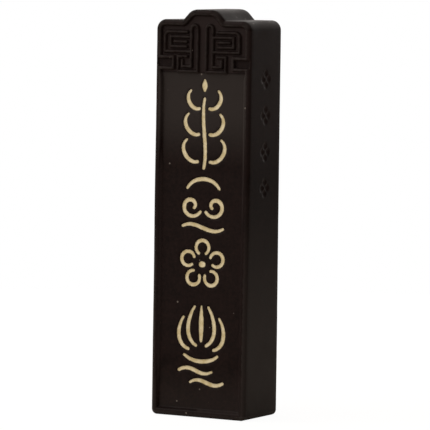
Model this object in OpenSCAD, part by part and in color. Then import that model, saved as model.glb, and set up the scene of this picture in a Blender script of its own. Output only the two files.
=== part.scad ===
// Ink stick: one moulded cake of soot and glue, with a raised border, a fret head and gilded
// ornament laid in carved grooves. Millimetres, +Z up, the gilded front towards -Y, and the
// origin at the middle of the foot.

/* [Cake] */
// Width across the front face
cake_w = 27.4; // [27:0.2:29]
// Depth from the front border to the back border
cake_d = 17.8; // [14:0.2:20]
// Height of the shoulders
shoulder_h = 102.3; // [101.5:0.1:106]
// Rise of the round lobe above the shoulders
lobe_rise = 2.7; // [2.4:0.1:3]
// Half width of the flat on top of the lobe
lobe_flat = 2; // [1.4:0.1:2.6]
// Radius of the shoulder corners
shoulder_r = 2.6; // [2.2:0.1:3]
// Radius of the corners at the foot
foot_r = 1.4; // [1:0.1:1.8]
// Radius of the long edges
edge_r = 1; // [0.6:0.1:1.4]

/* [Border and panel] */
// Width of the raised border
rim_w = 1.9; // [1.7:0.1:2]
// Depth of the panel below the border
panel_deep = 0.9; // [0.7:0.1:1.2]

/* [Fret head] */
// Spacing of the fret's rows
fret_pitch = 1.26; // [1.2:0.01:1.28]
// Width of a fret line
fret_w = 0.7; // [0.5:0.05:0.8]
// How far the fret lines stand below the border
fret_drop = 0.15; // [0.1:0.05:0.4]
// How far the fret stands to the right of the middle
fret_x = -0.4; // [-0.5:0.1:0.3]
// Depth of the notches at the sides below the border
notch_deep = 1; // [0.9:0.1:1.6]

/* [Gilded ornament] */
// Depth of the carved grooves below the panel
groove_deep = 0.5; // [0.4:0.05:0.8]
// Thickness of the gilding in the grooves
gilt_thick = 0.4; // [0.2:0.05:0.4]
// Sideways place of the ornament's centre line
motif_x = 0.3; // [-0.5:0.1:0.7]

/* [Side marks] */
// Number of rosettes pressed into the right side
mark_count = 4; // [1:1:4]
// Height of the top rosette
mark_top = 87.3; // [84:0.1:88]
// Spacing of the rosettes
mark_pitch = 9.3; // [8:0.1:10]
// Radius of a rosette's petals
mark_petal_r = 1.05; // [0.8:0.05:1.15]
// Depth of the rosettes
mark_deep = 0.3; // [0.2:0.05:0.5]

/* [Hidden] */
$fn = 48;
over = 1;
half_w = cake_w / 2;
half_d = cake_d / 2;
cake_h = shoulder_h + lobe_rise;

// Lobe profile: a slope joins a convex arc above to a concave arc on the shoulder
lobe_slope = 47;
lobe_r = 3.6;
cove_r = 0.4;
slope_run = (lobe_rise - (lobe_r + cove_r) * (1 - cos(lobe_slope))) / tan(lobe_slope);
cove_x = lobe_flat + (lobe_r + cove_r) * sin(lobe_slope) + slope_run;

// Fret columns, as distances from the middle, and the row on which the fret stands
stem_x = 1.25;
hook_x = 3.1;
coil_x = 5.7;
box_x = 6.9;
notch_x = 8.65;
key_in_x = 9.1;
key_out_x = 10.75;
tongue_x = 8;
key_bend_r = 1.2;
stem_top = 8.65;
fret_foot = shoulder_h - rim_w / 2 - 0.9 - 9 * fret_pitch;
notch_low_row = 0.6;
notch_high_row = 2.85;

function row(n) = fret_foot + n * fret_pitch;

// Straight fret lines of the right half, as [from x, from row, to x, to row]
FRET = [
    [stem_x, 0, stem_x, stem_top],
    [hook_x, stem_top, hook_x, 1],
    [hook_x, 1, coil_x, 1],
    [coil_x, 1, coil_x, 2.2],
    [stem_x, 0, box_x, 0],
    [box_x, 0, box_x, 3],
    [box_x, 3, 4.4, 3],
    [4.4, 8, key_out_x - key_bend_r, 8],
    [key_out_x, 8 - key_bend_r / fret_pitch, key_out_x, 4],
    [key_out_x, 4, hook_x, 4],
    [hook_x, 7, key_in_x, 7],
    [key_in_x, 7, key_in_x, 5],
    [key_in_x, 5, 4.5, 5],
    [4.5, 6, tongue_x, 6]
];

// ---- Gilded ornament: centre lines on the front face, as [x, z] points ----

stroke_steps = 12;
cap_steps = 6;

function bezier(p) = [for (i = [0 : stroke_steps]) let (u = i / stroke_steps, v = 1 - u)
    v * v * v * p[0] + 3 * v * v * u * p[1] + 3 * v * u * u * p[2] + u * u * u * p[3]];

function spiral(centre, r0, r1, a0, a1, steps) = [for (i = [0 : steps]) let (u = i / steps)
    centre + (r0 + (r1 - r0) * u) * [cos(a0 + (a1 - a0) * u), sin(a0 + (a1 - a0) * u)]];

function flipped(line) = [for (p = line) [-p[0], p[1]]];

// Each stroke is [name, centre line, width at its start, middle and end]
function pair(name, line, w0, wm, w1) = [
    [str(name, "_left"), flipped(line), w0, wm, w1],
    [str(name, "_right"), line, w0, wm, w1]
];

SPRIG = concat(
    [["gilt_sprig_stem", bezier([[0, 64.4], [1.2, 70], [-1.1, 76], [0, 82.2]]), 0.9, 1.1, 0.8]],
    [["gilt_sprig_bud", bezier([[0, 84.3], [0, 85.1], [0, 86.1], [0, 87]]), 0.8, 1.6, 0.5]],
    pair("gilt_sprig_low_leaf", bezier([[1.8, 66.0], [4.6, 65.2], [7.6, 69.6], [5.0, 71.6]]), 0.9, 1.15, 0.7),
    pair("gilt_sprig_mid_leaf", bezier([[1.6, 73.0], [4.2, 72.2], [7.0, 76.2], [4.6, 78.2]]), 0.9, 1.15, 0.7),
    pair("gilt_sprig_top_leaf", bezier([[1.5, 79.6], [3.7, 79.0], [6.0, 82.4], [4.0, 84.2]]), 0.9, 1.15, 0.7)
);

CLOUD = concat(
    pair("gilt_cloud_scroll", spiral([3.35, 54.6], 0.9, 2.95, 210, -150, 24), 0.9, 1.15, 0.9),
    [["gilt_cloud_crest", bezier([[-4.6, 59.2], [-2.8, 62.4], [2.8, 62.4], [4.6, 59.2]]), 0.8, 1.15, 0.8]],
    [["gilt_cloud_foot", bezier([[-5.8, 49.4], [-1.8, 51.4], [1.8, 46.6], [5.8, 48.9]]), 0.8, 1.15, 0.8]]
);

blossom_z = 39.6;
blossom_r = 4.35;
petal_r = 1.85;
petals = 5;

BLOSSOM = concat(
    [for (i = [1 : petals]) let (a = 90 + 360 * (i - 1) / petals)
        [str("gilt_blossom_petal_", i),
         spiral([0, blossom_z] + blossom_r * [cos(a), sin(a)], petal_r, petal_r, a - 146, a + 146, 20),
         0.85, 1.05, 0.85]],
    [["gilt_blossom_eye", bezier([[-0.2, blossom_z], [-0.1, blossom_z], [0.1, blossom_z], [0.2, blossom_z]]),
      1.6, 1.7, 1.6]]
);

LOTUS = concat(
    [["gilt_lotus_heart", bezier([[0, 19.8], [0, 22], [0, 26], [0, 28.8]]), 0.8, 1.4, 0.5]],
    pair("gilt_lotus_inner_petal", bezier([[1.5, 18.6], [4.8, 20.4], [4.2, 25.2], [2.0, 28.6]]), 0.9, 1.15, 0.7),
    pair("gilt_lotus_outer_petal", bezier([[3.7, 17.6], [6.8, 18.4], [7.4, 22.4], [5.2, 25.8]]), 0.9, 1.15, 0.7),
    [["gilt_lotus_calyx", bezier([[-4.8, 16.0], [-2.4, 14.0], [2.4, 14.0], [4.8, 16.0]]), 0.8, 1.15, 0.8]],
    [["gilt_ripple_upper", bezier([[-6.3, 12.0], [-2.4, 14.2], [-0.6, 10.0], [3.2, 11.9]]), 0.9, 1.15, 0.7]],
    [["gilt_ripple_lower", bezier([[-3.0, 9.0], [0.8, 11.2], [2.6, 7.0], [6.4, 9.1]]), 0.7, 1.15, 0.9]]
);

STROKES = concat(SPRIG, CLOUD, BLOSSOM, LOTUS);

// ---- Stroke outlines ----

function unit(v) = v / norm(v);
function left_of(v) = [-v[1], v[0]];
function heading(line, i) = unit(line[min(i + 1, len(line) - 1)] - line[max(i - 1, 0)]);
function half_width(s, u) = (u < 0.5 ? s[2] + (s[3] - s[2]) * sin(180 * u)
                                     : s[4] + (s[3] - s[4]) * sin(180 * u)) / 2;
function edge_point(s, i, side) =
    s[1][i] + side * half_width(s, i / (len(s[1]) - 1)) * left_of(heading(s[1], i));
function cap_point(s, i, out, k) = let (a = 90 - 180 * k / cap_steps, h = out * heading(s[1], i))
    s[1][i] + half_width(s, i / (len(s[1]) - 1)) * (cos(a) * h + sin(a) * left_of(h));

function stroke_outline(s) = let (n = len(s[1]) - 1) concat(
    [for (i = [0 : n]) edge_point(s, i, 1)],
    [for (k = [1 : cap_steps - 1]) cap_point(s, n, 1, k)],
    [for (i = [n : -1 : 0]) edge_point(s, i, -1)],
    [for (k = [1 : cap_steps - 1]) cap_point(s, 0, -1, k)]
);

// ---- Flat shapes in the front view, x and z ----

module both_halves() {
    children();
    mirror([1, 0]) children();
}

// Block with round corners of one radius at the foot and another at the top
module block(w, low, high, r_low, r_high) {
    polygon([[-w, low + r_low], [-w, high - r_high], [-w + r_high, high], [w - r_high, high],
             [w, high - r_high], [w, low + r_low], [w - r_low, low], [-w + r_low, low]]);
    both_halves() {
        translate([w - r_high, high - r_high]) circle(r_high);
        translate([w - r_low, low + r_low]) circle(r_low);
    }
}

// The lobe and its coves, drawn in by a distance
module lobe(inset) {
    r = lobe_r - inset;
    c = cove_r + inset;
    shoulder = shoulder_h - inset;
    top = cake_h - inset;
    foot_tangent = [cove_x - c * sin(lobe_slope), shoulder + c * (1 - cos(lobe_slope))];
    top_tangent = [lobe_flat + r * sin(lobe_slope), top - r * (1 - cos(lobe_slope))];
    difference() {
        union() {
            both_halves() polygon([[0, shoulder - lobe_r], [cove_x, shoulder - lobe_r], [cove_x, shoulder],
                                   foot_tangent, top_tangent, [lobe_flat, top], [0, top]]);
            both_halves() translate([lobe_flat, top - r]) circle(r);
        }
        both_halves() translate([cove_x, shoulder + c]) circle(c);
    }
}

module shoulders(inset) {
    block(half_w - inset, inset, shoulder_h - inset, foot_r - min(inset, foot_r - 0.2), shoulder_r - inset);
}

// Where the border turns in round the notch at each side
module notch_block(grow) {
    both_halves() translate([notch_x - grow, row(notch_low_row) - grow])
        square([half_w, row(notch_high_row) - row(notch_low_row) + 2 * grow]);
}

module fret_line(f) {
    x0 = min(f[0], f[2]);
    z0 = min(row(f[1]), row(f[3]));
    translate([x0 - fret_w / 2, z0 - fret_w / 2])
        square([abs(f[2] - f[0]) + fret_w, abs(row(f[3]) - row(f[1])) + fret_w]);
}

// Part of a ring of the fret line's width, within a quarter or half plane
module fret_bend(centre, r, corner, size) {
    translate(centre) intersection() {
        difference() {
            circle(r + fret_w / 2);
            circle(r - fret_w / 2);
        }
        translate(corner) square(size);
    }
}

// ---- Solids ----

module upright(y0, y1) translate([0, y1, 0]) rotate([90, 0, 0]) linear_extrude(y1 - y0) children();

// Rounded box that eases the long edges and the edges of the foot and of one top level
module eased_box(top) {
    intersection() {
        linear_extrude(top) round_plan();
        translate([-half_w - over, 0, 0]) rotate([90, 0, 90]) linear_extrude(cake_w + 2 * over)
            block(half_d, 0, top, edge_r, edge_r);
    }
}

module round_plan() {
    translate([0, -half_d]) block(half_w, 0, cake_d, edge_r, edge_r);
}

module cake_blank() {
    union() {
        intersection() {
            upright(-half_d - over, half_d + over) shoulders(0);
            eased_box(shoulder_h);
        }
        intersection() {
            upright(-half_d - over, half_d + over) lobe(0);
            eased_box(cake_h);
        }
    }
}

// What is taken from the front: the panel, leaving the border, the notch edges and the fret
module front_sinking() {
    floor_y = -half_d + panel_deep;
    difference() {
        upright(-half_d - over, floor_y) union() {
            shoulders(rim_w);
            lobe(rim_w);
        }
        upright(-half_d - 2 * over, floor_y + over) notch_block(fret_w / 2);
        upright(-half_d + fret_drop, floor_y + over) translate([fret_x, 0]) both_halves() {
            for (f = FRET) fret_line(f);
            fret_bend([(stem_x + hook_x) / 2, row(stem_top)], (hook_x - stem_x) / 2, [-over * 2, 0], [4, 2]);
            fret_bend([key_out_x - key_bend_r, row(8) - key_bend_r], key_bend_r, [0, 0], [2, 2]);
        }
    }
    upright(-half_d - over, -half_d + notch_deep) notch_block(-fret_w / 2);
}

module side_marks() {
    for (i = [0 : mark_count - 1]) translate([half_w - mark_deep, 0, mark_top - i * mark_pitch])
        rotate([0, 90, 0]) for (a = [0 : 90 : 270]) rotate([0, 0, a])
            translate([mark_petal_r * 1.3, 0, 0]) cylinder(r = mark_petal_r, h = mark_deep + over);
}

module stroke_prism(s, y0, y1) {
    translate([motif_x, 0, 0]) upright(y0, y1) polygon(stroke_outline(s));
}

module ink_bar() {
    color("#1b1716") difference() {
        cake_blank();
        front_sinking();
        rotate([0, 0, 180]) front_sinking();
        side_marks();
        for (s = STROKES)
            stroke_prism(s, -half_d - over, -half_d + panel_deep + groove_deep);
    }
}

module gilding(s) {
    bed = -half_d + panel_deep + groove_deep;
    color("#cdbb8c") stroke_prism(s, bed - gilt_thick, bed);
}

ink_bar();
for (s = STROKES) gilding(s);
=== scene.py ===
"""Looks of a moulded ink stick: a cake of soot and glue with gilded ornament in carved grooves.

Shapes are worked out in millimetres, front view x and z, and turned into metres when a mesh is made.
"""

import logging
import math
from collections.abc import Callable, Iterable, Sequence
from dataclasses import dataclass, field
from enum import Enum

import bmesh
import bpy
import numpy as np
from mathutils import Matrix, Vector, geometry, kdtree, noise


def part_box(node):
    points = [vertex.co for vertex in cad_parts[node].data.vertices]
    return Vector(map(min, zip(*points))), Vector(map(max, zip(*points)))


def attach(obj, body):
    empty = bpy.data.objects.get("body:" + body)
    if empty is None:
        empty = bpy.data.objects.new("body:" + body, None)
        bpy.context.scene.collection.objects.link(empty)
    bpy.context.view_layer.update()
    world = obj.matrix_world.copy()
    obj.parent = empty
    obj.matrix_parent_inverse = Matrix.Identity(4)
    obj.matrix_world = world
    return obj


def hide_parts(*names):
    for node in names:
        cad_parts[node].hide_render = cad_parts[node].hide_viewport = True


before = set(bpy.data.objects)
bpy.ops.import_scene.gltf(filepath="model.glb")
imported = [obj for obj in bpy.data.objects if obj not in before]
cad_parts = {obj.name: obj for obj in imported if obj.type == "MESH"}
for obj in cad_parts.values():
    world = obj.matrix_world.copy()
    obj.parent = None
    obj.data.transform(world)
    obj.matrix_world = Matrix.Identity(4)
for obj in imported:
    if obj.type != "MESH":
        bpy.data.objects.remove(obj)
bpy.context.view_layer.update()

MM = 0.001
BODY = "root"
BAR_NODE = "ink_bar"
LOG = logging.getLogger("ink_stick")


class Face(Enum):
    """The two broad faces, with the direction in which each one looks along Y."""

    FRONT = -1.0
    BACK = 1.0


class Slot(Enum):
    """Material slots of the record."""

    INK = "ink"
    GILT = "gilt"


# ---- Small helpers ----


def linear(hex_colour: str) -> tuple[float, float, float, float]:
    """Turns an sRGB hex colour into linear red, green, blue and alpha.

    Args:
        hex_colour: colour such as "#1b1716".

    Returns:
        The colour in linear light with an alpha of one.
    """
    parts = [int(hex_colour[i : i + 2], 16) / 255 for i in (1, 3, 5)]
    red, green, blue = (c / 12.92 if c <= 0.04045 else ((c + 0.055) / 1.055) ** 2.4 for c in parts)
    return red, green, blue, 1.0


def smoothstep(low: float, high: float, value: np.ndarray) -> np.ndarray:
    """Rises smoothly from 0 at low to 1 at high.

    Args:
        low: value at which the step starts.
        high: value at which it ends.
        value: numbers to map.

    Returns:
        The mapped numbers, from 0 to 1.
    """
    share = np.clip((value - low) / (high - low), 0.0, 1.0)
    return share * share * (3.0 - 2.0 * share)


def waver(points: np.ndarray, size: float, seed: float) -> np.ndarray:
    """Soft noise over flat points, for the unevenness of hand work.

    Args:
        points: points in millimetres, two columns.
        size: rough size of one swelling in millimetres.
        seed: offset that picks another pattern.

    Returns:
        One value per point, roughly from -1 to 1.
    """
    return np.array([noise.noise(Vector((x / size, z / size, seed))) for x, z in points])


def segment_distance(points: np.ndarray, start: Sequence[float], end: Sequence[float]) -> np.ndarray:
    """Distance from each point to a straight line between two points.

    Args:
        points: points in millimetres, two columns.
        start: first end of the line.
        end: second end of the line.

    Returns:
        One distance per point.
    """
    a, b = np.array(start, float), np.array(end, float)
    along = np.clip(((points - a) @ (b - a)) / max(float((b - a) @ (b - a)), 1e-9), 0.0, 1.0)
    return np.linalg.norm(points - a - along[:, None] * (b - a), axis=1)


def loop_distance(points: np.ndarray, loop: np.ndarray) -> np.ndarray:
    """Signed distance to a closed outline, positive inside.

    Args:
        points: points in millimetres, two columns.
        loop: outline points in order, without repeating the first.

    Returns:
        One distance per point.
    """
    nearest = np.full(len(points), np.inf)
    inside = np.zeros(len(points), bool)
    for a, b in zip(loop, np.roll(loop, -1, axis=0), strict=True):
        nearest = np.minimum(nearest, segment_distance(points, a, b))
        crosses = (a[1] > points[:, 1]) != (b[1] > points[:, 1])
        rise = b[1] - a[1] if b[1] != a[1] else 1e-12
        inside ^= crosses & (points[:, 0] < a[0] + (points[:, 1] - a[1]) * (b[0] - a[0]) / rise)
    return np.where(inside, nearest, -nearest)


def resample_loop(loop: np.ndarray, step: float) -> np.ndarray:
    """Smooths a closed outline and spaces its points evenly.

    Args:
        loop: outline points in order.
        step: wanted spacing in millimetres.

    Returns:
        The new outline.
    """
    count = len(loop)
    rounded = []
    for i in range(count):
        p0, p1, p2, p3 = (loop[(i + k) % count] for k in (-1, 0, 1, 2))
        for u in (0.0, 0.25, 0.5, 0.75):
            rounded.append(
                0.5 * (2 * p1 + (p2 - p0) * u + (2 * p0 - 5 * p1 + 4 * p2 - p3) * u**2 + (3 * p1 - p0 - 3 * p2 + p3) * u**3)
            )
    closed = np.array([*rounded, rounded[0]])
    travelled = np.concatenate([[0.0], np.cumsum(np.linalg.norm(np.diff(closed, axis=0), axis=1))])
    stops = np.linspace(0.0, travelled[-1], max(12, round(travelled[-1] / step)), endpoint=False)
    return np.stack([np.interp(stops, travelled, closed[:, k]) for k in (0, 1)], axis=1)


def inset_loop(loop: np.ndarray, distance: float) -> np.ndarray:
    """Moves each point of an anticlockwise outline inwards along its normal.

    Args:
        loop: outline points in order, anticlockwise.
        distance: how far to move, in millimetres.

    Returns:
        The moved outline.
    """
    along = np.roll(loop, -1, axis=0) - np.roll(loop, 1, axis=0)
    along /= np.linalg.norm(along, axis=1)[:, None]
    return loop + distance * np.stack([-along[:, 1], along[:, 0]], axis=1)


def thinned(points: np.ndarray, keep_clear: np.ndarray, gap: float) -> np.ndarray:
    """Drops points that crowd a set of fixed points.

    Args:
        points: candidate points.
        keep_clear: fixed points.
        gap: smallest distance allowed, in millimetres.

    Returns:
        The candidates that are left.
    """
    tree = kdtree.KDTree(len(keep_clear))
    for i, (x, z) in enumerate(keep_clear):
        tree.insert((x, z, 0.0), i)
    tree.balance()
    far = [tree.find((x, z, 0.0))[2] >= gap for x, z in points]
    return points[np.array(far, bool)]


def grid(low: Sequence[float], high: Sequence[float], step: float) -> np.ndarray:
    """Points of a staggered grid, which gives even triangles.

    Args:
        low: lowest corner.
        high: highest corner.
        step: spacing in millimetres.

    Returns:
        The grid's points.
    """
    rows = np.arange(low[1], high[1], step * math.sqrt(3) / 2)
    columns = np.arange(low[0], high[0], step)
    return np.array([(x + (step / 2 if i % 2 else 0.0), z) for i, z in enumerate(rows) for x in columns])


def triangulate(
    boundary: np.ndarray, loops: Sequence[np.ndarray], free: np.ndarray
) -> tuple[np.ndarray, list[list[int]]]:
    """Fills an outline with triangles that respect inner outlines.

    Args:
        boundary: outer outline in order.
        loops: closed inner outlines whose edges must stay edges.
        free: further points to use.

    Returns:
        The points and the triangles as lists of point numbers.
    """
    verts = [Vector(p) for p in boundary]
    edges = []
    for loop in loops:
        first = len(verts)
        verts += [Vector(p) for p in loop]
        edges += [(first + i, first + (i + 1) % len(loop)) for i in range(len(loop))]
    verts += [Vector(p) for p in free]
    points, _, faces, *_ = geometry.delaunay_2d_cdt(verts, edges, [list(range(len(boundary)))], 1, 1e-6)
    return np.array([tuple(p) for p in points]), [list(f) for f in faces]


def add_node(
    tree: bpy.types.NodeTree,
    kind: str,
    settings: dict[str, object] | None = None,
    inputs: dict[str | int, object] | None = None,
) -> bpy.types.Node:
    """Adds a shader node, sets it and links it.

    Args:
        tree: node tree to add to.
        kind: Blender's node type name.
        settings: node properties by name.
        inputs: input sockets by name or number; a value that is a socket is linked, others are set.

    Returns:
        The new node.
    """
    node = tree.nodes.new(kind)
    for name, value in (settings or {}).items():
        setattr(node, name, value)
    for name, value in (inputs or {}).items():
        if isinstance(value, bpy.types.NodeSocket):
            tree.links.new(value, node.inputs[name])
        else:
            node.inputs[name].default_value = value
    return node


def make_object(name: str, mesh: bpy.types.Mesh) -> bpy.types.Object:
    """Links a new object that holds a mesh."""
    made = bpy.data.objects.new(name, mesh)
    bpy.context.scene.collection.objects.link(made)
    return made


# ---- Finishes ----


@dataclass(frozen=True)
class MouldedInk:
    """Soot bound with animal glue, pressed in a wooden mould and rubbed with a cloth.

    It gives the eye a deep warm black with a low satin sheen, a fine grain from the mould, and a few
    pale specks of dust. Where the level of rubbing and light is high the ink is painted paler as a
    painted sheen, partly the polish of handling; where it is low, a pale bloom partly painted fill light.
    """

    soot: str = "#0e0807"
    glue_rich: str = "#1c1210"
    rub_and_sheen: str = "#2f2a28"
    dust: str = "#5d5650"
    bloom_and_fill: str = "#2b2322"
    ior: float = 1.5
    sheen: float = 0.035
    roughness: float = 0.42
    grain_mm: float = 0.28
    cloud_mm: float = 7.0
    mottle_mm: float = 0.9
    speck_mm: float = 3.2
    speck_width_mm: float = 0.5
    grain_depth_mm: float = 0.012

    def build(self) -> bpy.types.Material:
        """Makes the material.

        Returns:
            The finished material.
        """
        material = bpy.data.materials.new("moulded_ink")
        material.use_nodes = True
        tree = material.node_tree
        tree.nodes.clear()
        place = add_node(tree, "ShaderNodeTexCoord").outputs["Object"]
        # Level of rubbing and of painted light: the mixes below turn it into paler colour for painted sheen,
        # highlights, floor reflection and fill, and into dark colour for painted shade
        wear_and_light = add_node(tree, "ShaderNodeAttribute", {"attribute_name": "wear_and_light"}).outputs["Fac"]
        clouds = add_node(
            tree,
            "ShaderNodeTexNoise",
            {},
            {"Vector": place, "Scale": 1 / (self.cloud_mm * MM), "Detail": 4.0, "Roughness": 0.6},
        ).outputs["Fac"]
        cloud_share = add_node(
            tree, "ShaderNodeMapRange", {}, {"Value": clouds, "From Min": 0.35, "From Max": 0.65}
        ).outputs["Result"]
        mottle = add_node(
            tree,
            "ShaderNodeTexNoise",
            {},
            {"Vector": place, "Scale": 1 / (self.mottle_mm * MM), "Detail": 2.0, "Roughness": 0.7},
        ).outputs["Fac"]
        mottle_share = add_node(
            tree, "ShaderNodeMapRange", {}, {"Value": mottle, "From Min": 0.36, "From Max": 0.64}
        ).outputs["Result"]
        blend = add_node(
            tree, "ShaderNodeMath", {"operation": "MULTIPLY_ADD"}, {0: mottle_share, 1: 0.6, 2: 0.0}
        ).outputs["Value"]
        richness = add_node(
            tree, "ShaderNodeMath", {"operation": "MULTIPLY_ADD"}, {0: cloud_share, 1: 0.4, 2: blend}
        ).outputs["Value"]
        cake = add_node(
            tree,
            "ShaderNodeMix",
            {"data_type": "RGBA"},
            {"Factor": richness, 6: linear(self.soot), 7: linear(self.glue_rich)},
        ).outputs[2]
        grain = add_node(
            tree,
            "ShaderNodeTexNoise",
            {},
            {"Vector": place, "Scale": 1 / (self.grain_mm * MM), "Detail": 3.0, "Roughness": 0.65},
        ).outputs["Fac"]
        # A low level paints the ink paler and leaves it rougher: partly a bloom where no cloth rubs, partly
        # painted fill light that lifts the shade in the fret's hollows and on the upper sides
        cake_share = add_node(
            tree, "ShaderNodeMapRange", {}, {"Value": wear_and_light, "From Min": 0.1, "From Max": 0.36}
        ).outputs["Result"]
        skin = add_node(
            tree,
            "ShaderNodeMix",
            {"data_type": "RGBA"},
            {"Factor": cake_share, 6: linear(self.bloom_and_fill), 7: cake},
        ).outputs[2]
        # Painted sheen: a high level mixes in a paler colour in place of a brighter specular sheen, partly the
        # polish of handling
        rub_sheen_share = add_node(
            tree, "ShaderNodeMapRange", {}, {"Value": wear_and_light, "From Min": 0.35, "From Max": 0.95}
        ).outputs["Result"]
        with_rub_sheen = add_node(
            tree,
            "ShaderNodeMix",
            {"data_type": "RGBA"},
            {"Factor": rub_sheen_share, 6: skin, 7: linear(self.rub_and_sheen)},
        ).outputs[2]
        # Dust lies as small separate specks: one point in each cell, and most cells left clean
        cells = add_node(
            tree, "ShaderNodeTexVoronoi", {}, {"Vector": place, "Scale": 1 / (self.speck_mm * MM)}
        )
        near_point = add_node(
            tree,
            "ShaderNodeMath",
            {"operation": "LESS_THAN"},
            {0: cells.outputs["Distance"], 1: self.speck_width_mm / 2 / self.speck_mm},
        ).outputs["Value"]
        draw = add_node(
            tree, "ShaderNodeSeparateColor", {}, {"Color": cells.outputs["Color"]}
        ).outputs["Red"]
        chosen = add_node(
            tree, "ShaderNodeMath", {"operation": "GREATER_THAN"}, {0: draw, 1: 0.7}
        ).outputs["Value"]
        speck = add_node(
            tree, "ShaderNodeMath", {"operation": "MULTIPLY"}, {0: near_point, 1: chosen}
        ).outputs["Value"]
        coloured = add_node(
            tree,
            "ShaderNodeMix",
            {"data_type": "RGBA"},
            {"Factor": speck, 6: with_rub_sheen, 7: linear(self.dust)},
        ).outputs[2]
        sheen_break = add_node(
            tree,
            "ShaderNodeMapRange",
            {},
            {
                "Value": clouds,
                "From Min": 0.3,
                "From Max": 0.7,
                "To Min": self.roughness - 0.05,
                "To Max": self.roughness + 0.07,
            },
        ).outputs["Result"]
        polished = add_node(
            tree, "ShaderNodeMath", {"operation": "MULTIPLY_ADD"}, {0: wear_and_light, 1: -0.06, 2: sheen_break}
        ).outputs["Value"]
        bump = add_node(
            tree,
            "ShaderNodeBump",
            {},
            {"Height": grain, "Distance": self.grain_depth_mm * MM, "Strength": 1.0},
        ).outputs["Normal"]
        shader = add_node(
            tree,
            "ShaderNodeBsdfPrincipled",
            {},
            {
                "Base Color": coloured,
                "Roughness": polished,
                "IOR": self.ior,
                "Specular IOR Level": self.sheen,
                "Normal": bump,
            },
        )
        add_node(tree, "ShaderNodeOutputMaterial", {}, {"Surface": shader.outputs["BSDF"]})
        return material


@dataclass(frozen=True)
class GoldPaint:
    """Mineral gold powder in glue, brushed into the carved lines.

    It gives the eye a pale, slightly greenish gold that is more matt than metal, with brush streaks
    and thin places at the edges where the black shows through.
    """

    light: str = "#cfc2a0"
    deep: str = "#b9a87c"
    thin: str = "#5b4c30"
    metallic: float = 0.35
    roughness: float = 0.5
    patch_mm: float = 1.6
    streak_mm: float = 0.35
    flake_mm: float = 0.12
    streak_depth_mm: float = 0.02

    def build(self) -> bpy.types.Material:
        """Makes the material.

        Returns:
            The finished material.
        """
        material = bpy.data.materials.new("gold_paint")
        material.use_nodes = True
        tree = material.node_tree
        tree.nodes.clear()
        place = add_node(tree, "ShaderNodeTexCoord").outputs["Object"]
        rim = add_node(tree, "ShaderNodeAttribute", {"attribute_name": "rim"}).outputs["Fac"]
        patches = add_node(
            tree,
            "ShaderNodeTexNoise",
            {},
            {"Vector": place, "Scale": 1 / (self.patch_mm * MM), "Detail": 3.0},
        ).outputs["Fac"]
        patch_share = add_node(
            tree, "ShaderNodeMapRange", {}, {"Value": patches, "From Min": 0.38, "From Max": 0.66}
        ).outputs["Result"]
        streaks = add_node(
            tree,
            "ShaderNodeTexNoise",
            {},
            {"Vector": place, "Scale": 1 / (self.streak_mm * MM), "Detail": 4.0, "Roughness": 0.7},
        ).outputs["Fac"]
        powder = add_node(
            tree,
            "ShaderNodeMix",
            {"data_type": "RGBA"},
            {"Factor": patch_share, 6: linear(self.light), 7: linear(self.deep)},
        ).outputs[2]
        thin_share = add_node(
            tree, "ShaderNodeMath", {"operation": "MULTIPLY"}, {0: rim, 1: streaks}
        ).outputs["Value"]
        painted = add_node(
            tree,
            "ShaderNodeMix",
            {"data_type": "RGBA"},
            {"Factor": thin_share, 6: powder, 7: linear(self.thin)},
        ).outputs[2]
        flakes = add_node(
            tree, "ShaderNodeTexVoronoi", {}, {"Vector": place, "Scale": 1 / (self.flake_mm * MM)}
        )
        glint = add_node(
            tree, "ShaderNodeSeparateColor", {}, {"Color": flakes.outputs["Color"]}
        ).outputs["Green"]
        rough = add_node(
            tree,
            "ShaderNodeMapRange",
            {},
            {"Value": glint, "To Min": self.roughness - 0.12, "To Max": self.roughness + 0.1},
        ).outputs["Result"]
        bump = add_node(
            tree,
            "ShaderNodeBump",
            {},
            {"Height": streaks, "Distance": self.streak_depth_mm * MM, "Strength": 1.0},
        ).outputs["Normal"]
        shader = add_node(
            tree,
            "ShaderNodeBsdfPrincipled",
            {},
            {"Base Color": painted, "Metallic": self.metallic, "Roughness": rough, "Normal": bump},
        )
        add_node(tree, "ShaderNodeOutputMaterial", {}, {"Surface": shader.outputs["BSDF"]})
        return material


@dataclass(frozen=True)
class LightTable:
    """Opal acrylic lit from below, the usual floor for a cut-out product view.

    It gives the eye an almost white ground with only a breath of shadow, while the stick itself is
    lit by the duller skin of the acrylic.
    """

    glow: str = "#ffffff"
    skin: str = "#dad2c9"
    glow_share: float = 0.9

    def build(self) -> bpy.types.Material:
        """Makes the material.

        Returns:
            The finished material.
        """
        material = bpy.data.materials.new("opal_acrylic")
        material.use_nodes = True
        tree = material.node_tree
        tree.nodes.clear()
        skin = add_node(tree, "ShaderNodeBsdfDiffuse", {}, {"Color": linear(self.skin)}).outputs["BSDF"]
        glow = add_node(
            tree, "ShaderNodeEmission", {}, {"Color": linear(self.glow), "Strength": 1.05}
        ).outputs["Emission"]
        sight = add_node(tree, "ShaderNodeLightPath").outputs["Is Camera Ray"]
        share = add_node(
            tree, "ShaderNodeMath", {"operation": "MULTIPLY"}, {0: sight, 1: self.glow_share}
        ).outputs["Value"]
        mixed = add_node(tree, "ShaderNodeMixShader", {}, {0: share, 1: skin, 2: glow}).outputs["Shader"]
        add_node(tree, "ShaderNodeOutputMaterial", {}, {"Surface": mixed})
        return material


# ---- The cake of ink ----


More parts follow.
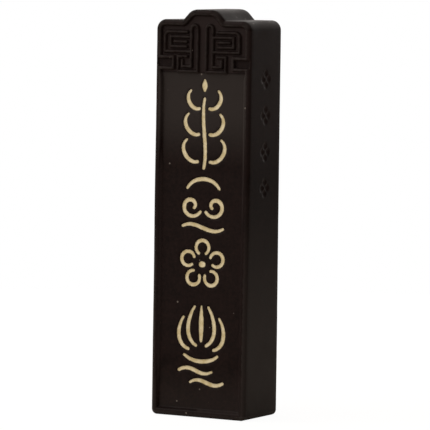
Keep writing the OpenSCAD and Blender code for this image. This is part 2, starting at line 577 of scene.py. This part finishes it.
@dataclass(frozen=True)
class CakeOutline:
    """Front view of the cake: a tall block with round shoulders and a lobe on top."""

    half_width: float
    height: float
    lobe_rise: float = 2.7
    lobe_flat: float = 2.0
    lobe_slope: float = math.radians(47)
    lobe_radius: float = 3.6
    cove_radius: float = 0.4
    shoulder_radius: float = 2.6
    foot_radius: float = 1.4
    fine_from: float = 87.5
    fine_step: float = 0.16
    coarse_step: float = 0.5

    @property
    def shoulder(self) -> float:
        """Height of the shoulders."""
        return self.height - self.lobe_rise

    def _arc(
        self, centre: Sequence[float], radius: float, start: float, end: float, outward: float
    ) -> list[tuple[float, ...]]:
        """Points and normals along an arc.

        Args:
            centre: the arc's centre.
            radius: the arc's radius.
            start: angle of the first point, in radians.
            end: angle after the last point, in radians.
            outward: 1 where the normal leaves the centre, -1 where it points to it.

        Returns:
            Rows of x, z, normal x and normal z.
        """
        steps = max(4, round(abs(end - start) * radius / self.fine_step))
        angles = [start + (end - start) * i / steps for i in range(steps)]
        return [
            (
                centre[0] + radius * math.cos(a),
                centre[1] + radius * math.sin(a),
                outward * math.cos(a),
                outward * math.sin(a),
            )
            for a in angles
        ]

    def _line(
        self, start: Sequence[float], end: Sequence[float], normal: Sequence[float], step: float
    ) -> list[tuple[float, ...]]:
        """Points and normals along a straight stretch.

        Args:
            start: first point.
            end: point after the last one.
            normal: outward normal.
            step: wanted spacing.

        Returns:
            Rows of x, z, normal x and normal z.
        """
        steps = max(1, round(math.dist(start, end) / step))
        return [
            (
                start[0] + (end[0] - start[0]) * i / steps,
                start[1] + (end[1] - start[1]) * i / steps,
                normal[0],
                normal[1],
            )
            for i in range(steps)
        ]

    def rows(self) -> np.ndarray:
        """The whole outline, anticlockwise from the middle of the foot.

        Returns:
            Rows of x, z, normal x and normal z.
        """
        w, top, shoulder = self.half_width, self.height, self.shoulder
        sine, cosine = math.sin(self.lobe_slope), math.cos(self.lobe_slope)
        run = (self.lobe_rise - (self.lobe_radius + self.cove_radius) * (1 - cosine)) / math.tan(self.lobe_slope)
        cove_x = self.lobe_flat + (self.lobe_radius + self.cove_radius) * sine + run
        low = (cove_x - self.cove_radius * sine, shoulder + self.cove_radius * (1 - cosine))
        high = (self.lobe_flat + self.lobe_radius * sine, top - self.lobe_radius * (1 - cosine))
        quarter = math.pi / 2
        right = [
            *self._line((0, 0), (w - self.foot_radius, 0), (0, -1), self.coarse_step),
            *self._arc((w - self.foot_radius, self.foot_radius), self.foot_radius, -quarter, 0, 1),
            *self._line((w, self.foot_radius), (w, self.fine_from), (1, 0), self.coarse_step),
            *self._line((w, self.fine_from), (w, shoulder - self.shoulder_radius), (1, 0), self.fine_step),
            *self._arc(
                (w - self.shoulder_radius, shoulder - self.shoulder_radius), self.shoulder_radius, 0, quarter, 1
            ),
            *self._line((w - self.shoulder_radius, shoulder), (cove_x, shoulder), (0, 1), self.fine_step),
            *self._arc(
                (cove_x, shoulder + self.cove_radius), self.cove_radius, -quarter, -quarter - self.lobe_slope, -1
            ),
            *self._line(low, high, (sine, cosine), self.fine_step),
            *self._arc(
                (self.lobe_flat, top - self.lobe_radius), self.lobe_radius, quarter - self.lobe_slope, quarter, 1
            ),
            *self._line((self.lobe_flat, top), (0, top), (0, 1), self.fine_step),
            (0, top, 0, 1),
        ]
        left = [(-x, z, -nx, nz) for x, z, nx, nz in right[-2:0:-1]]
        return np.array(right + left, float)


@dataclass(frozen=True)
class FretHead:
    """The fret under the shoulders, as ridges that stand on the sunken ground."""

    foot: float
    pitch: float = 1.26
    offset: float = -0.4
    stem: float = 1.25
    hook: float = 3.1
    coil: float = 5.7
    box: float = 6.9
    notch: float = 8.65
    notch_end: float = 13.7
    key_in: float = 9.1
    key_out: float = 10.75
    tongue: float = 8.0
    bend_radius: float = 1.2
    stem_row: float = 8.65
    notch_rows: tuple[float, float] = (0.6, 2.85)
    ridge_top: float = 0.12
    ridge_foot: float = 0.62
    edge_top: float = 0.24
    edge_foot: float = 0.6

    def row(self, number: float) -> float:
        """Height of a row of the fret."""
        return self.foot + number * self.pitch

    def lines(self) -> list[tuple[tuple[float, float], tuple[float, float]]]:
        """Straight ridges of the right half.

        Returns:
            Pairs of end points.
        """
        bend_row = 8 - self.bend_radius / self.pitch
        ends = [
            (self.stem, 0, self.stem, self.stem_row),
            (self.hook, self.stem_row, self.hook, 1),
            (self.hook, 1, self.coil, 1),
            (self.coil, 1, self.coil, 2.2),
            (self.stem, 0, self.box, 0),
            (self.box, 0, self.box, 3),
            (self.box, 3, 4.4, 3),
            (4.4, 8, self.key_out - self.bend_radius, 8),
            (self.key_out, bend_row, self.key_out, 4),
            (self.key_out, 4, self.hook, 4),
            (self.hook, 7, self.key_in, 7),
            (self.key_in, 7, self.key_in, 5),
            (self.key_in, 5, 4.5, 5),
            (4.5, 6, self.tongue, 6),
        ]
        return [((x0, self.row(r0)), (x1, self.row(r1))) for x0, r0, x1, r1 in ends]

    def ridge_height(self, points: np.ndarray) -> np.ndarray:
        """Height of the fret's ridges over the sunken ground, as a share of a full ridge.

        Args:
            points: points of the right half, x and z.

        Returns:
            One share per point.
        """
        nearest = np.full(len(points), np.inf)
        for start, end in self.lines():
            nearest = np.minimum(nearest, segment_distance(points, start, end))
        bends = [
            (((self.stem + self.hook) / 2, self.row(self.stem_row)), (self.hook - self.stem) / 2, -99.0),
            (
                (self.key_out - self.bend_radius, self.row(8) - self.bend_radius),
                self.bend_radius,
                self.key_out - self.bend_radius,
            ),
        ]
        for centre, radius, from_x in bends:
            arm = points - np.array(centre)
            ring = np.abs(np.linalg.norm(arm, axis=1) - radius)
            on_arc = (arm[:, 1] >= 0) & (points[:, 0] >= from_x)
            nearest = np.where(on_arc, np.minimum(nearest, ring), nearest)
        return 1 - smoothstep(self.ridge_top, self.ridge_foot, nearest)

    def notch_edge_height(self, points: np.ndarray, rim_line: float) -> np.ndarray:
        """Height of the border where it turns in round the side notch.

        Args:
            points: points of the right half, x and z.
            rim_line: distance of the border's crest from the middle.

        Returns:
            One share per point.
        """
        low, high = (self.row(r) for r in self.notch_rows)
        corners = [(rim_line, low), (self.notch, low), (self.notch, high), (rim_line, high)]
        nearest = np.full(len(points), np.inf)
        for start, end in zip(corners, corners[1:], strict=False):
            nearest = np.minimum(nearest, segment_distance(points, start, end))
        return 1 - smoothstep(self.edge_top, self.edge_foot, nearest)

    def notch_pit(self, points: np.ndarray) -> np.ndarray:
        """How far each point lies within the pit of the side notch.

        Args:
            points: points of the right half, x and z.

        Returns:
            Shares from 0 outside to 1 on the pit's floor.
        """
        low, high = (self.row(r) for r in self.notch_rows)
        lip = self.notch_end - 0.2 - points[:, 0]
        within = np.minimum.reduce(
            [points[:, 0] - self.notch - 0.2, points[:, 1] - low - 0.2, high - 0.2 - points[:, 1], lip]
        )
        return smoothstep(0.0, 0.36, within)


@dataclass(frozen=True)
class Groove:
    """One carved line of the ornament and the gold in it, as an anticlockwise outline."""

    node: str
    outline: np.ndarray

    def depth_share(self, points: np.ndarray) -> np.ndarray:
        """Share of the groove's full depth at each point.

        Args:
            points: points of the front view, x and z.

        Returns:
            Shares from 0 outside the line to 1 on the groove's floor.
        """
        share = np.zeros(len(points))
        low, high = self.outline.min(0) - 0.5, self.outline.max(0) + 0.5
        close = np.all((points > low) & (points < high), axis=1)
        share[close] = smoothstep(-0.05, 0.12, loop_distance(points[close], self.outline))
        return share


def dried(points: np.ndarray, height: float, grain: float = 0.0) -> np.ndarray:
    """Gives points the slight twist and swell that a cake takes on as it dries.

    Args:
        points: points in millimetres, three columns.
        height: height of the cake, whose top stays as it was moulded.
        grain: size of the fine unevenness in millimetres.

    Returns:
        The moved points.
    """
    turn = math.radians(-2.0) * np.clip(1 - points[:, 2] / height, 0, 1) ** 1.6
    cosine, sine = np.cos(turn), np.sin(turn)
    x, y, z = points.T
    x = x * (1 + 0.013 * np.clip(1 - z / height, 0, 1))
    moved = np.stack([x * cosine - y * sine, x * sine + y * cosine, z], axis=1)
    for i, (x, y, z) in enumerate(points):
        lift = min(1.0, max(0.0, z / 4))
        moved[i] += 0.07 * lift * np.array(noise.noise_vector(Vector((x / 19, y / 15 + 4.0, z / 26))))
        if grain:
            moved[i] += grain * lift * np.array(noise.noise_vector(Vector((x, y, z + 27)) / 3.2))
    return moved


@dataclass
class InkBar:
    """The pressed cake with its border, fret, grooves and side rosettes."""

    outline: CakeOutline
    fret: FretHead
    grooves: list[Groove]
    half_depth: float
    edge_radius: float = 1.0
    head_rim: tuple[float, float] = (1.25, 1.85)
    panel_rim: tuple[float, float] = (1.42, 2.32)
    rim_line: float = 1.2
    panel_depth: float = 0.9
    fret_drop: float = 0.12
    notch_depth: float = 1.0
    groove_depth: float = 0.5
    round_steps: int = 7
    side_step: float = 1.1
    fine_grid: float = 0.16
    panel_grid: float = 0.7
    rosette_top: float = 87.3
    rosette_pitch: float = 9.3
    rosette_count: int = 4
    petal_radius: float = 1.05
    rosette_depth: float = 0.3
    rosette_grid: float = 0.22
    panel_wear: float = 0.335
    ridge_rub_and_highlight: float = 0.52
    foot_bounce: float = 0.2
    left_wall_dip: float = 0.8
    lip_highlight: float = 0.6
    corner_rub_and_highlight: float = 0.6
    side_top_level: float = 0.26
    side_foot_bounce: float = 0.7
    top_hold_and_sheen: float = 0.5
    verts: list[tuple[float, float, float]] = field(default_factory=list)
    faces: list[tuple[int, ...]] = field(default_factory=list)
    wear_and_light: list[float] = field(default_factory=list)

    def _add(self, points: np.ndarray, wear_and_light: np.ndarray, faces: Iterable[Sequence[int]]) -> None:
        """Adds a patch of surface.

        Args:
            points: corners in millimetres, three columns.
            wear_and_light: level of rubbing and painted light at each corner, from 0 in a hollow to 1 on a
                crest.
            faces: faces as numbers of those corners.
        """
        first = len(self.verts)
        self.verts += [tuple(p) for p in points]
        self.wear_and_light += [float(v) for v in wear_and_light]
        self.faces += [tuple(first + i for i in f) for f in faces]

    def _inset(self, points: np.ndarray, rows: np.ndarray) -> np.ndarray:
        """Distance of each point from the outline, positive inside.

        Args:
            points: points of the front view.
            rows: the outline's rows.

        Returns:
            One distance per point.
        """
        inset = np.empty(len(points))
        for start in range(0, len(points), 2000):
            part = points[start : start + 2000]
            gap = part[:, None, :] - rows[None, :, :2]
            nearest = np.argmin((gap**2).sum(2), axis=1)
            picked = gap[np.arange(len(part)), nearest]
            inset[start : start + 2000] = -(picked * rows[nearest, 2:]).sum(1)
        return inset

    def _relief(self, points: np.ndarray, rows: np.ndarray, face: Face) -> tuple[np.ndarray, np.ndarray]:
        """Depth below the border's crest and the level of rubbing and painted light at points of a broad face.

        Args:
            points: points of the front view.
            rows: the outline's rows.
            face: which broad face.

        Returns:
            Depth in millimetres and the level of rubbing and painted light, from 0 to 1.
        """
        inset = self._inset(points, rows)
        shaky = points + 0.05 * np.stack([waver(points, 1.7, 3.1), waver(points, 1.7, 8.6)], axis=1)
        half = np.stack([np.abs(shaky[:, 0]), shaky[:, 1]], axis=1)
        aside = np.stack([np.abs(shaky[:, 0] - self.fret.offset), shaky[:, 1]], axis=1)
        wide = 1 - smoothstep(self.fret.row(-2), self.fret.row(0), points[:, 1])
        crest, foot = (a + (b - a) * wide for a, b in zip(self.head_rim, self.panel_rim, strict=True))
        rim = 1 - smoothstep(0.0, 1.0, (inset + 0.04 * waver(points, 2.5, 5.0) - crest) / (foot - crest))
        fret = self.fret.ridge_height(aside) * (1 - self.fret_drop / self.panel_depth)
        edge = self.fret.notch_edge_height(half, self.outline.half_width - self.rim_line)
        height = np.maximum.reduce([rim, fret, edge])
        pit = self.fret.notch_pit(half)
        depth = self.panel_depth * (1 - height)
        rounding = np.clip(self.edge_radius - inset, 0, self.edge_radius)
        depth += self.edge_radius - np.sqrt(self.edge_radius**2 - rounding**2)
        depth = np.maximum(depth, self.notch_depth * pit)
        in_head = smoothstep(self.fret.row(-0.6), self.fret.row(0.1), points[:, 1])
        # Painted sheen: the upper part of the broad faces is painted paler in place of the light's reflection
        # there, partly the polish of the holding hand
        panel_rub_and_light = self.panel_wear + self.top_hold_and_sheen * smoothstep(62.0, 80.0, points[:, 1])
        # Painted reflection: the lowest part of the broad faces is painted paler in place of the pale floor's
        # reflection
        panel_rub_and_light += self.foot_bounce * (1 - smoothstep(1.0, 18.0, points[:, 1]))
        # Painted highlight: the border's right lip is painted paler where the light glints on it, and the level
        # is lowered on the border's left wall
        panel_rub_and_light -= np.where(points[:, 0] < 0, self.left_wall_dip * rim * (1 - rim), 0.0)
        lip = smoothstep(0.55, 0.9, rim) * (1 - smoothstep(0.97, 1.0, rim)) * (points[:, 0] > 0)
        panel_rub_and_light += self.lip_highlight * lip * smoothstep(46.0, 66.0, points[:, 1])
        # In the fret the ridge tops are painted paler, partly rubbing and partly painted highlight, and the
        # hollows keep a low level that paints them paler as painted fill light against their shade
        patchy = 0.18 + self.ridge_rub_and_highlight * height * (0.9 + 0.5 * waver(points, 0.9, 2.2))
        rub_and_light = panel_rub_and_light * (1 - in_head) + patchy * in_head
        # Painted shade: the pit of the side notch is set to a level that paints the ink nearly at its darkest
        rub_and_light += (0.3 - rub_and_light) * pit
        if face is Face.FRONT:
            for groove in self.grooves:
                depth += self.groove_depth * groove.depth_share(points)
        return depth, rub_and_light

    def _plane(self, points: np.ndarray, depth: np.ndarray, face: Face) -> np.ndarray:
        """Places flat points on a broad face.

        Args:
            points: points of the front view, x and z.
            depth: how deep each one lies.
            face: which broad face.

        Returns:
            Points in space, three columns.
        """
        return np.stack([points[:, 0], face.value * (self.half_depth - depth), points[:, 1]], axis=1)

    def _broad_face(self, rows: np.ndarray, face: Face) -> None:
        """Adds a broad face inside the round edge.

        Args:
            rows: the outline's rows.
            face: which broad face.
        """
        boundary = rows[:, :2] - self.edge_radius * rows[:, 2:]
        steps = [self.edge_radius + 0.1 * i for i in range(1, 17)]
        bands = [rows[:, :2] - t * rows[:, 2:] for t in steps]
        bands = [b[self._inset(b, rows) > t - 0.04] for b, t in zip(bands, steps, strict=True)]
        loops: list[np.ndarray] = []
        if face is Face.FRONT:
            loops = [inset_loop(g.outline, d) for g in self.grooves for d in (-0.06, 0.03, 0.12)]
        fixed = np.vstack([boundary, *bands, *loops])
        w, top = self.outline.half_width, self.outline.height
        head = grid((-w, self.fret.row(-0.7)), (w, top), self.fine_grid)
        panel = grid((-w, 0), (w, self.fret.row(-0.7)), self.panel_grid)
        inner = self.edge_radius + 1.8
        head = head[self._inset(head, rows) > self.edge_radius + 0.06]
        panel = panel[self._inset(panel, rows) > inner]
        free = np.vstack(
            [*bands, thinned(head, fixed, self.fine_grid * 0.45), thinned(panel, fixed, self.panel_grid * 0.4)]
        )
        points, triangles = triangulate(boundary, loops, free)
        depth, rub_and_light = self._relief(points, rows, face)
        if face is Face.BACK:
            triangles = [t[::-1] for t in triangles]
        self._add(self._plane(points, depth, face), rub_and_light, triangles)

    def _round_edge(self, rows: np.ndarray, face: Face) -> None:
        """Adds the quarter round between a broad face and the sides.

        Args:
            rows: the outline's rows.
            face: which broad face.
        """
        count = len(rows)
        rings, rub_and_light = [], []
        for step in range(self.round_steps + 1):
            angle = math.pi / 2 * step / self.round_steps
            inset = self.edge_radius * (1 - math.cos(angle))
            flat = rows[:, :2] - inset * rows[:, 2:]
            half = np.stack([np.abs(flat[:, 0]), flat[:, 1]], axis=1)
            depth = np.full(count, self.edge_radius * (1 - math.sin(angle)))
            pit = self.fret.notch_pit(half)
            depth = np.maximum(depth, self.notch_depth * pit)
            if step == self.round_steps:
                depth, _ = self._relief(flat, rows, face)
            rings.append(self._plane(flat, depth, face))
            worn_and_lit = self._edge_light_level(flat[:, 1]) + self._corner_rub_and_highlight(rows)
            # Painted shade: the pit of the side notch is set to a level that paints the ink nearly at its
            # darkest
            rub_and_light.append(worn_and_lit + (0.3 - worn_and_lit) * pit)
        faces = []
        for r in range(self.round_steps):
            for i in range(count):
                a, b = r * count + i, r * count + (i + 1) % count
                quad = (a, b, b + count, a + count)
                faces.append(quad if face is Face.FRONT else quad[::-1])
        self._add(np.vstack(rings), np.concatenate(rub_and_light), faces)

    def _edge_light_level(self, heights: np.ndarray) -> np.ndarray:
        """Level on the round edges and the narrow sides: painted paler toward the foot in place of the pale
        floor's reflection.
        """
        return self.side_top_level + (self.side_foot_bounce - self.side_top_level) * (1 - smoothstep(22.0, 80.0, heights))

    def _corner_rub_and_highlight(self, rows: np.ndarray) -> np.ndarray:
        """Extra rubbing and painted highlight where the outline turns, least in the coves beside the lobe.

        Args:
            rows: the outline's rows.

        Returns:
            One share per row.
        """
        turned = np.abs(rows[:, 2] * rows[:, 3])
        risen = 0.25 + 0.95 * smoothstep(self.outline.shoulder - 0.2, self.outline.height, rows[:, 1])
        beside_lobe = np.abs(rows[:, 0]) < self.outline.half_width - self.outline.shoulder_radius
        return self.corner_rub_and_highlight * turned * np.where(beside_lobe, risen, 1.2)

    def _side_rows(self) -> np.ndarray:
        """Places along Y of the rows of the side band."""
        reach = self.half_depth - self.edge_radius
        return np.linspace(-reach, reach, round(2 * reach / self.side_step) + 1)

    def _rosette_share(self, points: np.ndarray) -> np.ndarray:
        """Share of a rosette's full depth at points of the right side.

        Args:
            points: points of the side view, y and z.

        Returns:
            One share per point.
        """
        share = np.zeros(len(points))
        for n in range(self.rosette_count):
            centre = np.array([0.0, self.rosette_top - n * self.rosette_pitch])
            for turn in range(4):
                angle = math.pi / 2 * turn
                petal = centre + 1.3 * self.petal_radius * np.array([math.cos(angle), math.sin(angle)])
                inside = self.petal_radius - np.linalg.norm(points - petal, axis=1)
                share = np.maximum(share, smoothstep(-0.3, 0.75, inside))
        return share

    def _sides(self, rows: np.ndarray) -> None:
        """Adds the band round the sides, with a finer patch where the rosettes are pressed in.

        Args:
            rows: the outline's rows.
        """
        ys = self._side_rows()
        count, lines = len(rows), len(ys)
        on_right = (rows[:, 2] > 0.99) & (rows[:, 0] > 0)
        reach = self.petal_radius * 2.3 + 0.75
        bottom = self.rosette_top - (self.rosette_count - 1) * self.rosette_pitch - reach
        patch = np.nonzero(on_right & (rows[:, 1] > bottom) & (rows[:, 1] < self.rosette_top + reach))[0]
        first, last = int(patch[0]), int(patch[-1])
        points = np.array([(x, y, z) for y in ys for x, z in rows[:, :2]])
        faces = []
        for j in range(lines - 1):
            for i in range(count):
                if first <= i < last:
                    continue
                a, b = j * count + i, j * count + (i + 1) % count
                faces.append((b, a, a + count, b + count))
        corner = np.tile(self._corner_rub_and_highlight(rows), lines)
        self._add(points, self._edge_light_level(points[:, 2]) + corner, faces)
        z_edge = rows[first : last + 1, 1]
        boundary = np.array(
            [(y, z_edge[0]) for y in ys]
            + [(ys[-1], z) for z in z_edge[1:]]
            + [(y, z_edge[-1]) for y in ys[-2::-1]]
            + [(ys[0], z) for z in z_edge[-2:0:-1]]
        )
        coarse = grid((ys[0] + 0.6, z_edge[0] + 0.4), (ys[-1] - 0.6, z_edge[-1] - 0.4), 0.9)
        around = [
            grid((-reach, z - reach), (reach, z + reach), self.rosette_grid)
            for z in (self.rosette_top - n * self.rosette_pitch for n in range(self.rosette_count))
        ]
        fine = np.vstack(around)
        fine = fine[self._rosette_share(fine) > -1]
        free = np.vstack([fine, thinned(coarse, fine, 0.5)])
        flat, triangles = triangulate(boundary, [], free)
        pressed = self._rosette_share(flat)
        depth = self.rosette_depth * pressed
        points = np.stack([self.outline.half_width - depth, flat[:, 0], flat[:, 1]], axis=1)
        self._add(points, self._edge_light_level(flat[:, 1]) * (1 - 0.3 * pressed), triangles)

    def build(self) -> bpy.types.Object:
        """Makes the whole cake as one closed mesh.

        Returns:
            The cake's object.
        """
        rows = self.outline.rows()
        for face in Face:
            self._broad_face(rows, face)
            self._round_edge(rows, face)
        self._sides(rows)
        points = dried(np.array(self.verts), self.outline.height, 0.012) * MM
        mesh = bpy.data.meshes.new("pressed_cake")
        mesh.from_pydata([tuple(p) for p in points], [], self.faces)
        worn_and_lit = mesh.attributes.new("wear_and_light", "FLOAT", "POINT")
        worn_and_lit.data.foreach_set("value", np.array(self.wear_and_light, np.float32))
        shell = bmesh.new()
        shell.from_mesh(mesh)
        bmesh.ops.remove_doubles(shell, verts=shell.verts, dist=0.004 * MM)
        loose = [v for v in shell.verts if not v.link_faces]
        bmesh.ops.delete(shell, geom=loose, context="VERTS")
        bmesh.ops.recalc_face_normals(shell, faces=shell.faces)
        open_edges = sum(1 for e in shell.edges if len(e.link_faces) != 2)
        shell.to_mesh(mesh)
        shell.free()
        mesh.shade_smooth()
        LOG.info("cake: %d faces, %d open edges", len(mesh.polygons), open_edges)
        return make_object("pressed_cake", mesh)


# ---- The gilding ----


def node_outline(node: str) -> np.ndarray:
    """Front outline of a flat frame node.

    Args:
        node: name of the node.

    Returns:
        Its outline in millimetres, anticlockwise in the front view, x and z.
    """
    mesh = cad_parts[node].data
    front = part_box(node)[0].y
    spots = [(round(v.co.x / MM, 4), round(v.co.z / MM, 4)) for v in mesh.vertices]
    on_front = [abs(v.co.y - front) < 0.01 * MM for v in mesh.vertices]
    seen: dict[tuple, tuple] = {}
    for polygon in mesh.polygons:
        corners = list(polygon.vertices)
        if not all(on_front[i] for i in corners):
            continue
        for a, b in zip(corners, corners[1:] + corners[:1], strict=True):
            edge = (spots[a], spots[b])
            if edge[::-1] in seen:
                del seen[edge[::-1]]
            else:
                seen[edge] = edge
    follows = {a: b for a, b in seen}
    start = next(iter(follows))
    loop = [start]
    while follows[loop[-1]] != start:
        loop.append(follows[loop[-1]])
    points = np.array(loop)
    turned = np.roll(points, -1, axis=0)
    area = (points[:, 0] * turned[:, 1] - turned[:, 0] * points[:, 1]).sum() / 2
    return points if area > 0 else points[::-1]


@dataclass
class GoldLine:
    """Gold paint lying in one carved line."""

    groove: Groove
    front: float
    cake_height: float
    floor_depth: float
    paint_depth: float = 0.1
    sag: float = 0.06
    brush: float = 0.02
    wall: float = 0.1

    def build(self) -> bpy.types.Object:
        """Makes the paint as a closed mesh with an uneven top.

        Returns:
            The paint's object.
        """
        outline = self.groove.outline
        low, high = outline.min(0), outline.max(0)
        inner = inset_loop(outline, 0.14)
        free = grid(low, high, 0.2)
        free = free[loop_distance(free, outline) > 0.24]
        inner = inner[loop_distance(inner, outline) > 0.12]
        points, triangles = triangulate(outline, [], np.vstack([inner, free]) if len(free) else inner)
        inside = np.clip(loop_distance(points, outline), 0, None)
        depth = self.paint_depth + self.sag * (1 - np.exp(-inside / 0.22))
        depth += self.brush * waver(points, 0.8, 2.0) * smoothstep(0.0, 0.2, inside)
        rim = 1 - smoothstep(0.02, 0.22, inside)
        count = len(points)
        top = [(x, self.front + d, z) for (x, z), d in zip(points, depth, strict=True)]
        bed = [(x, self.front + self.floor_depth, z) for x, z in points]
        edge = len(outline)
        faces = [tuple(t) for t in triangles] + [tuple(count + i for i in t[::-1]) for t in triangles]
        faces += [(i, i + count, (i + 1) % edge + count, (i + 1) % edge) for i in range(edge)]
        name = self.groove.node.replace("gilt", "gold")
        mesh = bpy.data.meshes.new(name)
        solid_points = dried(np.array(top + bed), self.cake_height) * MM
        mesh.from_pydata([tuple(p) for p in solid_points], [], faces)
        thin = mesh.attributes.new("rim", "FLOAT", "POINT")
        thin.data.foreach_set("value", np.concatenate([rim, np.ones(count)]).astype(np.float32))
        solid = bmesh.new()
        solid.from_mesh(mesh)
        bmesh.ops.recalc_face_normals(solid, faces=solid.faces)
        solid.to_mesh(mesh)
        solid.free()
        mesh.shade_smooth()
        return make_object(name, mesh)


# ---- Studio ----


@dataclass(frozen=True)
class SoftLight:
    """A square soft box aimed at a point of the stick."""

    name: str
    azimuth: float
    elevation: float
    distance: float
    size: float
    power: float
    colour: str = "#ffffff"
    aim_height: float = 0.055

    def build(self) -> bpy.types.Object:
        """Makes the light.

        Returns:
            The light's object.
        """
        data = bpy.data.lights.new(self.name, "AREA")
        data.size = self.size
        data.energy = self.power
        data.color = linear(self.colour)[:3]
        light = bpy.data.objects.new(self.name, data)
        bpy.context.scene.collection.objects.link(light)
        back = direction(self.azimuth, self.elevation)
        light.location = Vector((0, 0, self.aim_height)) + back * self.distance
        light.rotation_euler = (-back).to_track_quat("-Z", "Y").to_euler()
        return light


def direction(azimuth: float, elevation: float) -> Vector:
    """Unit vector from the stick towards a place round it.

    Args:
        azimuth: degrees, 0 in front and 90 on the right.
        elevation: degrees above the horizon.

    Returns:
        The unit vector.
    """
    a, e = math.radians(azimuth), math.radians(elevation)
    return Vector((math.sin(a) * math.cos(e), -math.cos(a) * math.cos(e), math.sin(e)))


@dataclass(frozen=True)
class Studio:
    """White sweep, soft boxes and the camera."""

    azimuth: float = 27.6
    elevation: float = 4.26
    roll: float = 0.78
    distance: float = 0.979
    lens: float = 317.0
    shift: tuple[float, float] = (-0.0037, -0.0058)
    backdrop: str = "#ffffff"
    fill: str = "#fffaf4"
    window: tuple[float, float] = (-52.0, 38.0)
    window_edge: float = -0.1
    window_strength: float = 1.5
    room_strength: float = 0.1
    floor_radius: float = 0.34

    def camera(self, height: float) -> None:
        """Makes the camera.

        Args:
            height: height of the stick in metres.
        """
        data = bpy.data.cameras.new("camera")
        data.lens = self.lens
        data.sensor_width = 36.0
        data.shift_x, data.shift_y = self.shift
        data.clip_start, data.clip_end = 0.05, 20.0
        camera = bpy.data.objects.new("camera", data)
        bpy.context.scene.collection.objects.link(camera)
        back = direction(self.azimuth, self.elevation)
        aim = (-back).to_track_quat("-Z", "Y").to_matrix().to_4x4()
        turn = Matrix.Rotation(math.radians(self.roll), 4, "Z")
        place = Matrix.Translation(Vector((0, 0, height / 2)) + back * self.distance)
        camera.matrix_world = place @ aim @ turn
        bpy.context.scene.camera = camera

    def surroundings(self) -> None:
        """Makes the pale surroundings: white to look at, and a weak even light to be lit by."""
        world = bpy.data.worlds.new("white_room")
        world.use_nodes = True
        tree = world.node_tree
        tree.nodes.clear()
        heading = add_node(tree, "ShaderNodeTexCoord").outputs["Generated"]
        facing = add_node(
            tree,
            "ShaderNodeVectorMath",
            {"operation": "DOT_PRODUCT"},
            {0: heading, 1: direction(*self.window)},
        ).outputs["Value"]
        strength = add_node(
            tree,
            "ShaderNodeMapRange",
            {"interpolation_type": "SMOOTHSTEP"},
            {
                "Value": facing,
                "From Min": self.window_edge,
                "From Max": 1.0,
                "To Min": self.room_strength,
                "To Max": self.window_strength,
            },
        ).outputs["Result"]
        seen = add_node(tree, "ShaderNodeBackground", {}, {"Color": linear(self.backdrop), "Strength": 1.0})
        lit = add_node(tree, "ShaderNodeBackground", {}, {"Color": linear(self.fill), "Strength": strength})
        sight = add_node(tree, "ShaderNodeLightPath").outputs["Is Camera Ray"]
        mixed = add_node(
            tree,
            "ShaderNodeMixShader",
            {},
            {0: sight, 1: lit.outputs["Background"], 2: seen.outputs["Background"]},
        )
        add_node(tree, "ShaderNodeOutputWorld", {}, {"Surface": mixed.outputs["Shader"]})
        bpy.context.scene.world = world

    def floor(self) -> bpy.types.Object:
        """Makes the pale floor as a round card.

        Returns:
            The floor's object.
        """
        card = bmesh.new()
        bmesh.ops.create_circle(card, cap_ends=True, segments=96, radius=self.floor_radius)
        mesh = bpy.data.meshes.new("floor")
        card.to_mesh(mesh)
        card.free()
        mesh.materials.append(LightTable().build())
        made = make_object("floor", mesh)
        made.location.z = -0.05 * MM
        return made

    def lights(self) -> list[SoftLight]:
        """The soft boxes.

        Returns:
            The lights to build.
        """
        return [
            SoftLight("key_box", -60, 42, 0.9, 0.5, 1.7),
            SoftLight("back_box", 182, 28, 0.8, 0.9, 3.2, "#fff9f4"),
        ]

    def build(self, height: float) -> None:
        """Sets up everything round the stick.

        Args:
            height: height of the stick in metres.
        """
        self.camera(height)
        self.surroundings()
        self.floor()
        for light in self.lights():
            light.build()
        bpy.context.scene.view_settings.view_transform = "Standard"
        bpy.context.scene.view_settings.look = "None"


# ---- Assembly ----


def place_piece(
    piece: bpy.types.Object, node: str, material: bpy.types.Material
) -> None:
    """Dresses a piece, puts it on the stick's body and hides the frame node that it stands for.

    Args:
        piece: the piece.
        node: the frame node that it stands for.
        material: the material to wear.
    """
    piece.data.materials.append(material)
    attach(piece, BODY)
    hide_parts(node)
    LOG.info("%s stands for %s, %d faces", piece.name, node, len(piece.data.polygons))


def read_grooves() -> list[Groove]:
    """Reads the carved lines from the frame and gives them slightly uneven edges.

    Returns:
        One groove per gilded node.
    """
    grooves = []
    for node in sorted(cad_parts):
        if node == BAR_NODE:
            continue
        outline = resample_loop(node_outline(node), 0.2)
        uneven = 0.05 * waver(outline, 0.9, 6.0) + 0.03 * waver(outline, 0.35, 7.0)
        normal = inset_loop(outline, 1.0) - outline
        grooves.append(Groove(node, outline + uneven[:, None] * normal))
    return grooves


def main() -> None:
    """Builds the stick and the studio round it."""
    logging.basicConfig(level=logging.INFO, format="%(message)s")
    low, high = (np.array(corner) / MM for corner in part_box(BAR_NODE))
    grooves = read_grooves()
    outline = CakeOutline(half_width=high[0], height=high[2])
    fret = FretHead(foot=outline.shoulder - 1.85 - 9 * FretHead.pitch)
    bar = InkBar(outline, fret, grooves, half_depth=high[1])
    place_piece(bar.build(), BAR_NODE, MouldedInk().build())
    gold = GoldPaint().build()
    panel = low[1] + bar.panel_depth
    for groove in grooves:
        line = GoldLine(groove, panel, outline.height, bar.groove_depth)
        place_piece(line.build(), groove.node, gold)
    Studio().build(high[2] * MM)


if __name__ == "__main__":
    main()
